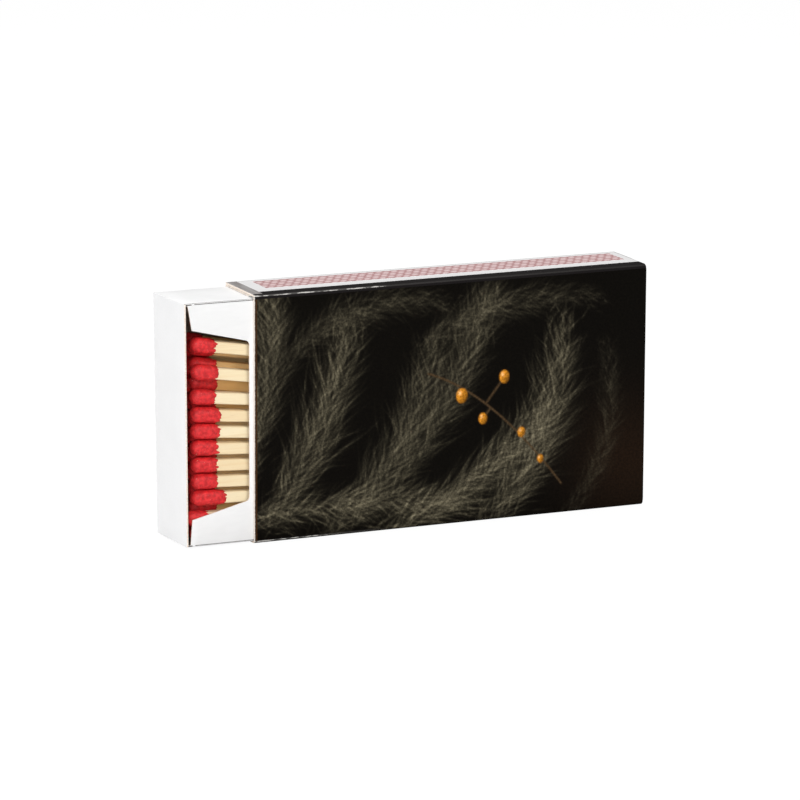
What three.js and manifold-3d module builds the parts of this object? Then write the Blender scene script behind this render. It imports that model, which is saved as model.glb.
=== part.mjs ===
// A household box of safety matches standing on its lower narrow side: a folded card sleeve with
// a striking coat on both narrow sides, a card tray pushed partly out of its left end, and the
// matches that lie in the tray with their heads at a window cut in the tray's cover.
// Millimetres. X runs along the sleeve, Y from the front panel (-) to the back panel (+), Z is up.
// The origin is the middle of the face that the box stands on.

import * as THREE from "three";
import { mergeVertices } from "three/addons/utils/BufferGeometryUtils.js";
import Module from "manifold-3d";

const wasm = await Module();
wasm.setup();

// Sleeve
const sleeveLength = 110;
const sleeveHeight = 64;
const sleeveDepth = 19;
const sleeveCard = 0.45;
const sleeveFoldRadius = 0.8;
const glueFlapWidth = 15;
const glueFlapFoldRadius = 0.6;

// Striking coat, one strip on the upper and one on the lower narrow side
const coatThickness = 0.05;
const coatWidth = 9;
const coatBackMargin = 2.1;
const coatLeftMargin = 6.5;
const coatRightMargin = 2.5;

// Tray: floor at the back, cover at the front
const trayCard = 0.4;
const trayShortfall = 0.4;
const trayPulledOut = 18.8;
const trayGapBelow = 0.15;
const trayGapAbove = 0.08;
const trayGapSide = 0.1;
const trayFoldRadius = 0.5;
const cornerTabLength = 14;
const cornerTabSetback = 1;
const coverEndSlit = 0.3;
const foldCutWidth = 0.3;
const foldCutDepth = 0.2;

// Window at the left end of the cover, between an upper and a lower ear
const windowReach = 17.7;
const windowCornerRadius = 1.1;
const earTipHeight = 6.9;
const earRootHeight = 10.7;
const earTipGap = 1.8;
const upperEarFoldGap = 0.6;
const lowerEarFoldGap = 1.3;

// Matches
const matchCount = 45;
const matchLength = 100;
const splintWidth = 2.9;
const splintChamfer = 0.2;
const headDiameter = 4.1;
const headLength = 7.8;
const headShoulderLength = 1.1;
const headClearance = 0.1;
const splintClearance = 0.05;
const headSetback = 2.2;
const steepestLean = 9.2;
const rollStep = 3;
const rollSpan = 4;

// The share of a layer's spare height that lies under each head, from the lowest up
const frontGapShares = [0, 0, 0.08, 0, 0, 0.015, 0, 0, 0.03, 0.2, 0.27, 0.16];
const layerRiseShares = [0, 0.107, 0.028, 0.135];
const usualGapShare = 0.02;

// Smoothness of curves
const foldSegments = 5;
const headSides = 10;
const noseSteps = 4;

// Derived sizes
const sleeveBottom = coatThickness;
const sleeveTop = sleeveBottom + sleeveHeight;
const trayLength = sleeveLength - trayShortfall;
const trayDepth = sleeveDepth - 2 * (sleeveCard + trayGapSide);
const trayHeight = sleeveHeight - 3 * sleeveCard - trayGapBelow - trayGapAbove;
const trayBottom = sleeveBottom + sleeveCard + trayGapBelow;
const coverFront = -trayDepth / 2;

const looks = {
  sleeve: { color: 0x1c1a16, roughness: 0.45, metalness: 0 },
  coat: { color: 0xc9949a, roughness: 0.9, metalness: 0 },
  tray: { color: 0xf2f2f4, roughness: 0.6, metalness: 0 },
  match: { vertexColors: true, roughness: 0.7, metalness: 0 },
};
const splintColour = new THREE.Color(0xf3d9a8);
const headColour = new THREE.Color(0xc8202a);

// Turns a shape drawn as (Y, Z) and extruded along its own third axis to run along X.
const alongX = new THREE.Matrix4().makeBasis(
  new THREE.Vector3(0, 1, 0),
  new THREE.Vector3(0, 0, 1),
  new THREE.Vector3(1, 0, 0),
);

// Turns a shape drawn as (X, Z) and extruded to run towards -Y.
const alongMinusY = new THREE.Matrix4().makeBasis(
  new THREE.Vector3(1, 0, 0),
  new THREE.Vector3(0, 0, 1),
  new THREE.Vector3(0, -1, 0),
);

function extruded(shape, length, turn) {
  const geometry = new THREE.ExtrudeGeometry(shape, {
    depth: length,
    bevelEnabled: false,
    curveSegments: foldSegments,
  });
  return geometry.applyMatrix4(turn);
}

function solidOf(geometry) {
  const bare = geometry.clone();
  bare.deleteAttribute("normal");
  bare.deleteAttribute("uv");
  const merged = mergeVertices(bare, 1e-4);
  return new wasm.Manifold(
    new wasm.Mesh({
      numProp: 3,
      vertProperties: new Float32Array(merged.attributes.position.array),
      triVerts: new Uint32Array(merged.index.array),
    }),
  );
}

function geometryOf(solid) {
  const mesh = solid.getMesh();
  const geometry = new THREE.BufferGeometry();
  geometry.setAttribute("position", new THREE.BufferAttribute(mesh.vertProperties, 3));
  geometry.setIndex(new THREE.BufferAttribute(mesh.triVerts, 1));
  const flat = geometry.toNonIndexed();
  flat.computeVertexNormals();
  return flat;
}

function block(x0, x1, y0, y1, z0, z1) {
  const geometry = new THREE.BoxGeometry(x1 - x0, y1 - y0, z1 - z0);
  return geometry.translate((x0 + x1) / 2, (y0 + y1) / 2, (z0 + z1) / 2);
}

function named(name, geometry, look) {
  const mesh = new THREE.Mesh(geometry, new THREE.MeshStandardMaterial(look));
  mesh.name = name;
  return mesh;
}

// Adds a rectangle with rounded corners to a path, counter-clockwise.
function roundedRectangle(path, u0, u1, v0, v1, radius) {
  path.moveTo(u0 + radius, v0);
  path.lineTo(u1 - radius, v0);
  path.absarc(u1 - radius, v0 + radius, radius, -Math.PI / 2, 0);
  path.lineTo(u1, v1 - radius);
  path.absarc(u1 - radius, v1 - radius, radius, 0, Math.PI / 2);
  path.lineTo(u0 + radius, v1);
  path.absarc(u0 + radius, v1 - radius, radius, Math.PI / 2, Math.PI);
  path.lineTo(u0, v0 + radius);
  path.absarc(u0 + radius, v0 + radius, radius, Math.PI, 1.5 * Math.PI);
  return path;
}

// The sleeve's section, in Y and Z. The upper side is double: the panel that carries the coat
// folds over from the front and lies on a glue flap that folds in from the back panel.
function sleeveSection() {
  const halfDepth = sleeveDepth / 2;
  const flapTop = sleeveTop - sleeveCard;
  const outer = new THREE.Shape();
  const inner = new THREE.Path();
  const r = sleeveFoldRadius;
  const inside = Math.max(sleeveFoldRadius - sleeveCard, 0.05);
  const back = halfDepth - sleeveCard;
  const low = sleeveBottom + sleeveCard;
  const flapInside = Math.max(glueFlapFoldRadius - sleeveCard, 0.05);

  outer.moveTo(-halfDepth + r, sleeveBottom);
  outer.lineTo(halfDepth - r, sleeveBottom);
  outer.absarc(halfDepth - r, sleeveBottom + r, r, -Math.PI / 2, 0);
  outer.lineTo(halfDepth, flapTop - glueFlapFoldRadius);
  outer.absarc(halfDepth - glueFlapFoldRadius, flapTop - glueFlapFoldRadius, glueFlapFoldRadius, 0, Math.PI / 2);
  outer.lineTo(halfDepth, flapTop);
  outer.lineTo(halfDepth, sleeveTop);
  outer.lineTo(-halfDepth + r, sleeveTop);
  outer.absarc(-halfDepth + r, sleeveTop - r, r, Math.PI / 2, Math.PI);
  outer.lineTo(-halfDepth, sleeveBottom + r);
  outer.absarc(-halfDepth + r, sleeveBottom + r, r, Math.PI, 1.5 * Math.PI);

  inner.moveTo(-back + inside, low);
  inner.lineTo(back - inside, low);
  inner.absarc(back - inside, low + inside, inside, -Math.PI / 2, 0);
  inner.lineTo(back, flapTop - sleeveCard - flapInside);
  inner.absarc(back - flapInside, flapTop - sleeveCard - flapInside, flapInside, 0, Math.PI / 2);
  inner.lineTo(back - glueFlapWidth, flapTop - sleeveCard);
  inner.lineTo(back - glueFlapWidth, flapTop);
  inner.lineTo(-back + inside, flapTop);
  inner.absarc(-back + inside, flapTop - inside, inside, Math.PI / 2, Math.PI);
  inner.lineTo(-back, low + inside);
  inner.absarc(-back + inside, low + inside, inside, Math.PI, 1.5 * Math.PI);
  outer.holes.push(inner);
  return outer;
}

function sleeve() {
  return named("sleeve", extruded(sleeveSection(), sleeveLength, alongX), looks.sleeve);
}

// A strip of coat whose lower face lies at the given height.
function strikingCoat(name, bottom) {
  const backEdge = sleeveDepth / 2 - coatBackMargin;
  const strip = block(
    coatLeftMargin,
    sleeveLength - coatRightMargin,
    backEdge - coatWidth,
    backEdge,
    bottom,
    bottom + coatThickness,
  );
  return named(name, strip, looks.coat);
}

// The window's outline in X and Z, from the left end wall to the edge between the two ears.
function windowOutline() {
  const wall = trayCard;
  const foldInset = trayFoldRadius + foldCutWidth;
  const top = trayHeight - foldInset;
  const rise = earRootHeight - earTipHeight;
  const run = windowReach - wall - earTipGap;
  const slope = rise / run;
  const back = windowCornerRadius;
  const shape = new THREE.Shape();
  shape.moveTo(wall, foldInset);
  shape.lineTo(wall + lowerEarFoldGap, foldInset);
  shape.lineTo(wall + earTipGap, earTipHeight);
  shape.lineTo(windowReach - back, earRootHeight - back * slope);
  shape.quadraticCurveTo(windowReach, earRootHeight, windowReach, earRootHeight + back);
  shape.lineTo(windowReach, trayHeight - earRootHeight - back);
  shape.quadraticCurveTo(
    windowReach,
    trayHeight - earRootHeight,
    windowReach - back,
    trayHeight - earRootHeight + back * slope,
  );
  shape.lineTo(wall + earTipGap, trayHeight - earTipHeight);
  shape.lineTo(wall + upperEarFoldGap, top);
  shape.lineTo(wall, top);
  return shape;
}

// The tube of floor, two narrow sides and cover that the tray's blank wraps into.
function trayTube() {
  const half = trayDepth / 2;
  const section = roundedRectangle(new THREE.Shape(), -half, half, 0, trayHeight, trayFoldRadius);
  const hollow = new THREE.Path();
  hollow.moveTo(-half + trayCard, trayCard);
  hollow.lineTo(half - trayCard, trayCard);
  hollow.lineTo(half - trayCard, trayHeight - trayCard);
  hollow.lineTo(-half + trayCard, trayHeight - trayCard);
  section.holes.push(hollow);
  return solidOf(extruded(section, trayLength, alongX));
}

function trayEndWall(x) {
  const half = trayDepth / 2;
  const outline = roundedRectangle(new THREE.Shape(), -half, half, 0, trayHeight, trayFoldRadius);
  return solidOf(extruded(outline, trayCard, alongX).translate(x, 0, 0));
}

// A tab that folds in from a narrow side and is glued to the inner face of an end wall.
function cornerTab(atRight, atTop) {
  const near = atRight ? trayLength - 2 * trayCard : trayCard / 2;
  const reach = 1.5 * trayCard;
  const tip = trayCard + cornerTabLength;
  const root = trayCard / 2;
  return solidOf(
    block(
      near,
      near + reach,
      coverFront + trayCard + cornerTabSetback,
      trayDepth / 2 - trayCard / 2,
      atTop ? trayHeight - tip : root,
      atTop ? trayHeight - root : tip,
    ),
  );
}

// The scored line along which the cover folds from a narrow side, cut part way through the card.
function foldCut(atTop) {
  const middle = atTop ? trayHeight - trayFoldRadius : trayFoldRadius;
  return solidOf(
    block(
      -trayCard,
      trayLength + trayCard,
      coverFront - trayCard,
      coverFront + foldCutDepth,
      middle - foldCutWidth / 2,
      middle + foldCutWidth / 2,
    ),
  );
}

// The slit between the cover's right edge and the right end wall.
function coverSlit() {
  const wall = trayLength - trayCard;
  return solidOf(
    block(
      wall - coverEndSlit,
      wall,
      coverFront - trayCard,
      coverFront + trayCard + cornerTabSetback / 2,
      2 * trayFoldRadius,
      trayHeight - 2 * trayFoldRadius,
    ),
  );
}

function windowCut() {
  const depth = 2 * trayCard + cornerTabSetback / 2;
  const cut = extruded(windowOutline(), depth, alongMinusY);
  return solidOf(cut.translate(0, coverFront + trayCard + cornerTabSetback / 2, 0));
}

function tray() {
  let card = trayTube();
  card = card.add(trayEndWall(0)).add(trayEndWall(trayLength - trayCard));
  for (const atRight of [false, true]) {
    for (const atTop of [false, true]) card = card.add(cornerTab(atRight, atTop));
  }
  card = card.subtract(foldCut(false)).subtract(foldCut(true));
  card = card.subtract(coverSlit()).subtract(windowCut());
  return named("tray", geometryOf(card), looks.tray);
}

// The square splint, with its long edges chamfered, from inside the head to the tail.
function splint() {
  const half = splintWidth / 2;
  const flat = half - splintChamfer;
  const section = new THREE.Shape([
    new THREE.Vector2(-flat, -half),
    new THREE.Vector2(flat, -half),
    new THREE.Vector2(half, -flat),
    new THREE.Vector2(half, flat),
    new THREE.Vector2(flat, half),
    new THREE.Vector2(-flat, half),
    new THREE.Vector2(-half, flat),
    new THREE.Vector2(-half, -flat),
  ]);
  const start = headDiameter / 2;
  return solidOf(extruded(section, matchLength - start, alongX).translate(start, 0, 0));
}

// The dipped head: a round nose, a straight body and a shoulder that runs out on the splint.
function head() {
  const radius = headDiameter / 2;
  const shoulderRadius = splintWidth / 2;
  const profile = [new THREE.Vector2(0, 0)];
  for (let i = 1; i <= noseSteps; i++) {
    const angle = (i / noseSteps) * (Math.PI / 2);
    profile.push(new THREE.Vector2(radius * Math.sin(angle), radius * (1 - Math.cos(angle))));
  }
  profile.push(new THREE.Vector2(radius, headLength - headShoulderLength));
  profile.push(new THREE.Vector2(shoulderRadius, headLength));
  profile.push(new THREE.Vector2(0, headLength));
  const geometry = new THREE.LatheGeometry(profile, headSides);
  return solidOf(geometry.rotateZ(-Math.PI / 2));
}

// Colours each triangle of a match as wood or as head, by where along the match it lies.
function paintMatch(geometry) {
  const position = geometry.attributes.position;
  const colours = new Float32Array(position.count * 3);
  for (let i = 0; i < position.count; i += 3) {
    const middle = (position.getX(i) + position.getX(i + 1) + position.getX(i + 2)) / 3;
    const colour = middle < headLength ? headColour : splintColour;
    for (let corner = i; corner < i + 3; corner++) colour.toArray(colours, 3 * corner);
  }
  geometry.setAttribute("color", new THREE.BufferAttribute(colours, 3));
  return geometry;
}

function gapShareBelow(layer, row) {
  if (layer > 0 && row === 0) return layerRiseShares[layer % layerRiseShares.length];
  return layer === 0 && row < frontGapShares.length ? frontGapShares[row] : usualGapShare;
}

// The height of a splint that is rolled as far as any, and so the pitch of the tails in a layer.
function tailPitch() {
  const roll = THREE.MathUtils.degToRad(rollSpan / 2);
  const flat = splintWidth - 2 * splintChamfer;
  return splintWidth * Math.cos(roll) + flat * Math.sin(roll) + splintClearance;
}

// Where each match lies in the tray's section: upright layers from the window to the floor, each
// piled up from the lower narrow side, with part of the spare height as gaps between the heads.
// A tail is thinner than a head, so the tails settle lower and the matches lean, the upper ones
// most. The place given is the axis at the head's rim, and the lean is an angle below level.
function matchPlaces() {
  const across = headDiameter + headClearance;
  const steepest = Math.sin(THREE.MathUtils.degToRad(steepestLean));
  const tailRise = tailPitch() / Math.sqrt(1 - steepest * steepest);
  const tailRun = matchLength - headLength;
  const roomDeep = trayDepth - 2 * trayCard;
  const layers = Math.max(1, Math.floor((roomDeep - headClearance) / across));
  const layerPitch = (roomDeep - 2 * headClearance - headDiameter) / Math.max(1, layers - 1);
  const firstY = coverFront + trayCard + headClearance + headDiameter / 2;
  const lowest = trayCard + headClearance + headDiameter / 2;
  const ceiling = trayHeight - lowest - headLength * steepest;
  const places = [];
  for (let layer = 0; layer < layers; layer++) {
    const share = Math.ceil((matchCount - places.length) / (layers - layer));
    const room = Math.max(0, ceiling - lowest - (share - 1) * across);
    let z = lowest + room * gapShareBelow(layer, 0);
    let tail = trayCard + headClearance + tailRise / 2;
    for (let row = 0; row < share && z <= ceiling; row++) {
      tail = Math.max(tail, z - steepest * tailRun);
      places.push({ y: firstY + layer * layerPitch, z, lean: Math.asin((z - tail) / tailRun) });
      z += across + room * gapShareBelow(layer, row + 1);
      tail += tailRise;
    }
  }
  return places;
}

function matches() {
  const geometry = paintMatch(geometryOf(splint().add(head())));
  return matchPlaces().map((place, index) => {
    const number = String(index + 1).padStart(2, "0");
    const match = named("match_" + number, geometry, looks.match);
    match.position.x = -headLength;
    match.rotation.x = THREE.MathUtils.degToRad(((index * rollStep) % rollSpan) - rollSpan / 2);
    const leaning = new THREE.Group();
    leaning.add(match);
    leaning.position.set(trayCard + headSetback + headLength, place.y, place.z);
    leaning.rotation.y = place.lean;
    return leaning;
  });
}

const filledTray = new THREE.Group();
filledTray.add(tray(), ...matches());
filledTray.position.set(-trayPulledOut, 0, trayBottom);

// The model is built with the sleeve's left end at X 0, then moved to centre the sleeve.
const group = new THREE.Group();
group.add(sleeve());
group.add(strikingCoat("striker_bottom", 0));
group.add(strikingCoat("striker_top", sleeveTop));
group.add(filledTray);
group.position.x = -sleeveLength / 2;

export default group;
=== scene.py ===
"""A box of safety matches standing on its narrow side, with the tray pushed partly out.

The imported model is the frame. The card sleeve, the card tray and the matches are modelled here
in finer detail where their nodes lie, and everything gets procedural materials. Metres.
"""

import math

import bmesh
import bpy
import numpy as np
from mathutils import Matrix, Vector, noise

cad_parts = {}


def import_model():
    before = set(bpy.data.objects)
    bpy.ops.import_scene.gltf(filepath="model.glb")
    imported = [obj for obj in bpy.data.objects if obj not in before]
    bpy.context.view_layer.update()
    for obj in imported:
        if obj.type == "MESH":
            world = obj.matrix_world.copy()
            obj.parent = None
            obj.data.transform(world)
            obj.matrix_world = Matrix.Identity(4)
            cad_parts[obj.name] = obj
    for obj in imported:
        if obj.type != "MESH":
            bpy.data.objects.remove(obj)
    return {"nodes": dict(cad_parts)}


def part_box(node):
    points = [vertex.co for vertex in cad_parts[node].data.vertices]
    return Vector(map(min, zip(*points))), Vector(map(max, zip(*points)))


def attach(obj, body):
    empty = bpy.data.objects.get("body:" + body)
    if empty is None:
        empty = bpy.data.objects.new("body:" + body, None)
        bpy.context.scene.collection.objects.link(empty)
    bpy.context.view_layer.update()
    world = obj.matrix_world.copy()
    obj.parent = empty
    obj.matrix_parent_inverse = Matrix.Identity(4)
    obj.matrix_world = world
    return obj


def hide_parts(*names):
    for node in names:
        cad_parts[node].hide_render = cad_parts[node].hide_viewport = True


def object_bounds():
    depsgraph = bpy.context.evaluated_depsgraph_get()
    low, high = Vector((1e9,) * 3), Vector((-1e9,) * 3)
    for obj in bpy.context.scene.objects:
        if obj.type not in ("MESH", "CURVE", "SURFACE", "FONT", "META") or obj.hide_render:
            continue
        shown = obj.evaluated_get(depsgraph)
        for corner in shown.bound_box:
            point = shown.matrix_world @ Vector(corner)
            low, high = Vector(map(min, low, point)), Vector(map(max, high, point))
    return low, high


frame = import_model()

cad_low, cad_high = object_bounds()

MM = 0.001

# Card sizes that the nodes' boxes don't give, and the turn of the flap's fold in degrees
SLEEVE_CARD = 0.45 * MM
SLEEVE_FOLD = 0.8 * MM
FLAP_FOLD = 0.6 * MM
FLAP_WIDTH = 15 * MM
FLAP_SLIT = 0.13 * MM
FLAP_TURN = 80
TRAY_CARD = 0.4 * MM
TRAY_FOLD = 0.3 * MM

# Cut edge of the upper narrow side, which ends over the back panel
EDGE_TUCK = 0.03 * MM
EDGE_GAP = 0.02 * MM
EDGE_START = 0.1 * MM
EDGE_CHAMFER = 0.06 * MM

# Card is never quite flat: the sleeve's broad panels bow and ripple, in full from a twelfth of the
# height on, and its right corners are bruised
PANEL_BOW = 0.10 * MM
PANEL_RIPPLE = 0.05 * MM
PANEL_RISE = 12
BRUISE_DEPTH = 0.25 * MM
BRUISE_REACH = 2 * MM

# Window in the tray's cover, measured from the tray's left end and its lower and upper sides
WINDOW_REACH = 17.7 * MM
WINDOW_CORNER = 1.1 * MM
EAR_TIP_HEIGHT = 6.9 * MM
EAR_ROOT_HEIGHT = 10.7 * MM
EAR_TIP_GAP = 1.8 * MM
UPPER_EAR_GAP = 0.6 * MM
LOWER_EAR_GAP = 1.3 * MM
FOLD_CUT_WIDTH = 0.22 * MM
FOLD_CUT_DEPTH = 0.38 * MM
NICK_START = 2.2 * MM
NICK_LENGTH = 0.7 * MM
CORNER_TAB = 14 * MM
TAB_SETBACK = 1 * MM
WALL_INSET = 0.1 * MM
TRAY_BEVEL = 0.05 * MM

# The left end wall has been pushed out of square: its shift in X at its four corners, and the bend of
# its front strip
END_SHIFT_BACK_TOP = -1.1 * MM
END_SHIFT_BACK_BOTTOM = -0.25 * MM
END_SHIFT_FRONT_TOP = -0.12 * MM
END_SHIFT_FRONT_BOTTOM = 0.38 * MM
END_BEND = 0.25 * MM
END_BEND_DEPTH = 3.6 * MM
END_RIGID = 0.85 * MM
END_FADE = 0.4 * MM

# Print on the narrow sides, measured from the front fold and the sleeve's left end, the width of a grey
# band that darkens their back and right edges, and the brown stain along the front panel's left end
FRONT_BLEED = 4.0 * MM
LEFT_BLEED = 2.9 * MM
CORNER_BLEED = 1.5 * MM
EDGE_DARK_WIDTH = 0.6 * MM
RIM_STAIN = 0.6 * MM
INK_SOFTNESS = 0.06 * MM
INK_RAGGEDNESS = 0.12 * MM
PAPER_GRAIN = 0.03 * MM

# Honeycomb of the striking coats: its lines' reach in pitches, and the share that thins its upright lines
HONEYCOMB_PITCH = 2.2 * MM
HONEYCOMB_LINE = 0.27
HONEYCOMB_UPRIGHT = 0.62

# Matches: their sizes, tones from brown to pale (brown on the deeper layers as painted shade), and slips
# along the tray
SPLINT = 2.9 * MM
SPLINT_CHAMFER = 0.22 * MM
HEAD_WIDTH = 4.1 * MM
SPLINT_START = 1.2 * MM
SPLINT_ROUGHNESS = 0.035
ROLL_LIMIT = math.radians(3)
FRONT_TONE = (0.75, 1.0)
DEEP_TONE_AND_SHADE = (0.0, 0.35)
FRONT_SLIP = (-0.3 * MM, 0.0)
SECOND_SLIP = (0.8 * MM, 1.3 * MM)
DEEP_SLIP = (0.5 * MM, 1.5 * MM)
SECOND_LAYER_END = 23
SLIPPED_MATCH = 2
SLIPPED_BY = -1.5 * MM

# Head lengths in millimetres: the front layer's from the lowest match up, and the range of the others
FRONT_HEAD_LENGTHS = [6.7, 5.8, 9.3, 6.9, 6.8, 7.1, 7.6, 7.9, 6.4, 7.1, 6.4, 6.7]
DEEP_HEAD_LENGTHS = (6.7, 7.6)

# Form of a head: its blunt nose, its lumps, and the ragged rim that thins out on the splint
NOSE_LENGTH = 2.0 * MM
NOSE_CROWDING = 1.25
HEAD_SQUARENESS = 2.3
SPLINT_SQUARENESS = 7
HEAD_TAPER = 0.05
RIM_START = 0.80
RIM_REACH = 0.20
RIM_CURVE = 1.6
RIM_CLEARANCE = 1.012
LONG_TEETH = 0.7
SHORT_TEETH = 0.45
LUMP_HEIGHT = 0.085 * MM
LUMP_SCALE = 900
LUMP_TURN = 1.6

# Mesh fineness
PRINT_STEP = 0.3 * MM
PLAIN_STEP = 5 * MM
INNER_STATIONS = 12
TRAY_STATIONS = 28
SPLINT_STATIONS = 44
WALL_CELLS = (1, 10, 24)
EAR_CORNER_POINTS = 7
ARC_STEPS = 5

# Camera, found from the corners of the box in the photograph
CAMERA_TARGET = Vector((-14.853, -9.5, 33.879)) * MM
CAMERA_DISTANCE = 1293.3 * MM
CAMERA_YAW = math.radians(24.243)
CAMERA_PITCH = math.radians(12.243)
CAMERA_ROLL = math.radians(0.287)
CAMERA_LENS = 228.46
SENSOR_WIDTH = 36
CAMERA_CLIP = (0.05, 20)

# Colours, each pair from dark to light
WHITE_BOARD = ((0.875, 0.875, 0.875), (0.90, 0.90, 0.90))
INNER_BOARD = ((0.70, 0.69, 0.66), (0.80, 0.79, 0.76))
# Unprinted board inside the tray, darkened to about half as painted shade for the tray's dim inside
RAW_BOARD_SHADED = ((0.24, 0.17, 0.13), (0.34, 0.25, 0.20))
SIDE_BOARD = ((0.76, 0.75, 0.75), (0.82, 0.81, 0.81))
CUT_EDGE = ((0.85, 0.70, 0.58), (0.95, 0.87, 0.79))
# Near-black brown on the sides of the cuts along the cover's folds: painted shade for the slits
SCORED_FOLD_SHADE = ((0.02, 0.012, 0.008), (0.07, 0.045, 0.03))
# Bare white board where the print is rubbed through; also laid faintly along every fold as a painted
# highlight
BARE_BOARD_AND_HIGHLIGHT = (0.60, 0.58, 0.55)
SIDE_RIM = (0.22, 0.22, 0.21)
# Black print on the narrow sides, lifted above the front's black as a painted reflection; at the left end
# it is grey, a stronger painted reflection
SIDE_INK_AND_SHEEN = (0.0105, 0.0088, 0.0090)
LEFT_INK_AND_SHEEN = ((0.26, 0.24, 0.235), (0.36, 0.345, 0.34))
COAT_LINE = ((0.32, 0.14, 0.14), (0.48, 0.26, 0.26))
COAT_WASH = ((0.70, 0.53, 0.53), (0.82, 0.68, 0.68))
# Splint colours: the brown end is painted shade for the deeper layers, the pale end the front layer's
# wood
SPLINT_SHADE_TO_PALE = ((0.78, 0.45, 0.14), (0.95, 0.82, 0.56))
SPLINT_GRAIN = (0.80, 0.55, 0.26)
SPLINT_PORE = (0.45, 0.22, 0.07)
HEAD_RED = ((0.52, 0.012, 0.016), (0.87, 0.030, 0.034))
HEAD_SPECK = (0.86, 0.36, 0.34)

# Numbers of the materials on the sleeve and on the tray
SLEEVE_FRONT, SLEEVE_SIDE, SLEEVE_INSIDE, SLEEVE_CUT, SLEEVE_BACK = range(5)
TRAY_COATED, TRAY_CUT, TRAY_SCORED_SHADE, TRAY_INSIDE = range(4)

# Stage
FLOOR_HALF = 6.0
FLOOR_GREY = 0.7
FLOOR_GLOW = 1.1
FLOOR_GLOW_SHARE = 0.86
WORLD_LIGHT = 0.2
LAMP_TARGET = (-0.01, 0, 0.03)

rng = np.random.default_rng(7)


def node_box(name):
    """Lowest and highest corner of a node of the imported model."""
    low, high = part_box(name)
    return Vector(low), Vector(high)


def camera():
    """The photograph's view."""
    data = bpy.data.cameras.new("camera")
    data.lens = CAMERA_LENS
    data.sensor_width = SENSOR_WIDTH
    data.clip_start, data.clip_end = CAMERA_CLIP
    level = Vector((math.sin(CAMERA_YAW), math.cos(CAMERA_YAW), 0))
    side = Vector((math.cos(CAMERA_YAW), -math.sin(CAMERA_YAW), 0))
    up = Vector((0, 0, 1))
    forward = level * math.cos(CAMERA_PITCH) - up * math.sin(CAMERA_PITCH)
    raised = up * math.cos(CAMERA_PITCH) + level * math.sin(CAMERA_PITCH)
    right = side * math.cos(CAMERA_ROLL) + raised * math.sin(CAMERA_ROLL)
    top = raised * math.cos(CAMERA_ROLL) - side * math.sin(CAMERA_ROLL)
    turn = Matrix((right, top, -forward)).transposed()
    made = bpy.data.objects.new("camera", data)
    made.matrix_world = Matrix.Translation(CAMERA_TARGET - forward * CAMERA_DISTANCE) @ turn.to_4x4()
    bpy.context.collection.objects.link(made)
    bpy.context.scene.camera = made


# Materials


class Shader:
    """A new material with short calls for its nodes."""

    def __init__(self, name, roughness, specular=0.5):
        self.material = bpy.data.materials.new(name)
        self.material.use_nodes = True
        self.tree = self.material.node_tree
        self.surface = self.tree.nodes["Principled BSDF"]
        self.surface.inputs["Roughness"].default_value = roughness
        self.surface.inputs["Specular IOR Level"].default_value = specular
        self.place = self.tree.nodes.new("ShaderNodeTexCoord").outputs["Object"]

    def put(self, value, socket):
        if isinstance(value, bpy.types.NodeSocket):
            self.tree.links.new(value, socket)
        else:
            socket.default_value = value

    def math(self, operation, a, b=0.0, c=0.0, clamp=False):
        node = self.tree.nodes.new("ShaderNodeMath")
        node.operation = operation
        node.use_clamp = clamp
        for value, socket in zip((a, b, c), node.inputs):
            self.put(value, socket)
        return node.outputs[0]

    def plus(self, a, b):
        return self.math("ADD", a, b)

    def minus(self, a, b):
        return self.math("SUBTRACT", a, b)

    def times(self, a, b, clamp=False):
        return self.math("MULTIPLY", a, b, clamp=clamp)

    def axes(self, vector=None):
        node = self.tree.nodes.new("ShaderNodeSeparateXYZ")
        self.put(vector or self.place, node.inputs[0])
        return node.outputs[0], node.outputs[1], node.outputs[2]

    def scaled(self, scale, vector=None):
        node = self.tree.nodes.new("ShaderNodeMapping")
        self.put(vector or self.place, node.inputs["Vector"])
        node.inputs["Scale"].default_value = scale
        return node.outputs[0]

    def noise(self, scale, vector=None, detail=4.0, roughness=0.55):
        """Cloudy noise with about that many clouds in a metre."""
        node = self.tree.nodes.new("ShaderNodeTexNoise")
        self.put(vector or self.place, node.inputs["Vector"])
        node.inputs["Scale"].default_value = scale
        node.inputs["Detail"].default_value = detail
        node.inputs["Roughness"].default_value = roughness
        return node.outputs["Fac"]

    def range(self, value, low, high, to_low=0.0, to_high=1.0):
        """Eases from to_low, where the value is low or less, to to_high, where it is high or more."""
        node = self.tree.nodes.new("ShaderNodeMapRange")
        node.interpolation_type = "SMOOTHSTEP"
        for number, socket in zip((value, low, high, to_low, to_high), node.inputs):
            self.put(number, socket)
        return node.outputs[0]

    def attribute(self, name):
        node = self.tree.nodes.new("ShaderNodeAttribute")
        node.attribute_name = name
        return node

    def mix(self, share, a, b, blend="MIX"):
        node = self.tree.nodes.new("ShaderNodeMix")
        node.data_type = "RGBA"
        node.blend_type = blend
        self.put(share, node.inputs["Factor"])
        for value, socket in ((a, node.inputs[6]), (b, node.inputs[7])):
            self.put((*value, 1) if isinstance(value, tuple) else value, socket)
        return node.outputs[2]

    def bump(self, height, strength, distance):
        node = self.tree.nodes.new("ShaderNodeBump")
        self.put(height, node.inputs["Height"])
        node.inputs["Strength"].default_value = strength
        node.inputs["Distance"].default_value = distance
        self.put(node.outputs[0], self.surface.inputs["Normal"])

    def colour(self, value):
        self.put(value, self.surface.inputs["Base Color"])

    def roughness(self, value):
        self.put(value, self.surface.inputs["Roughness"])


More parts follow.
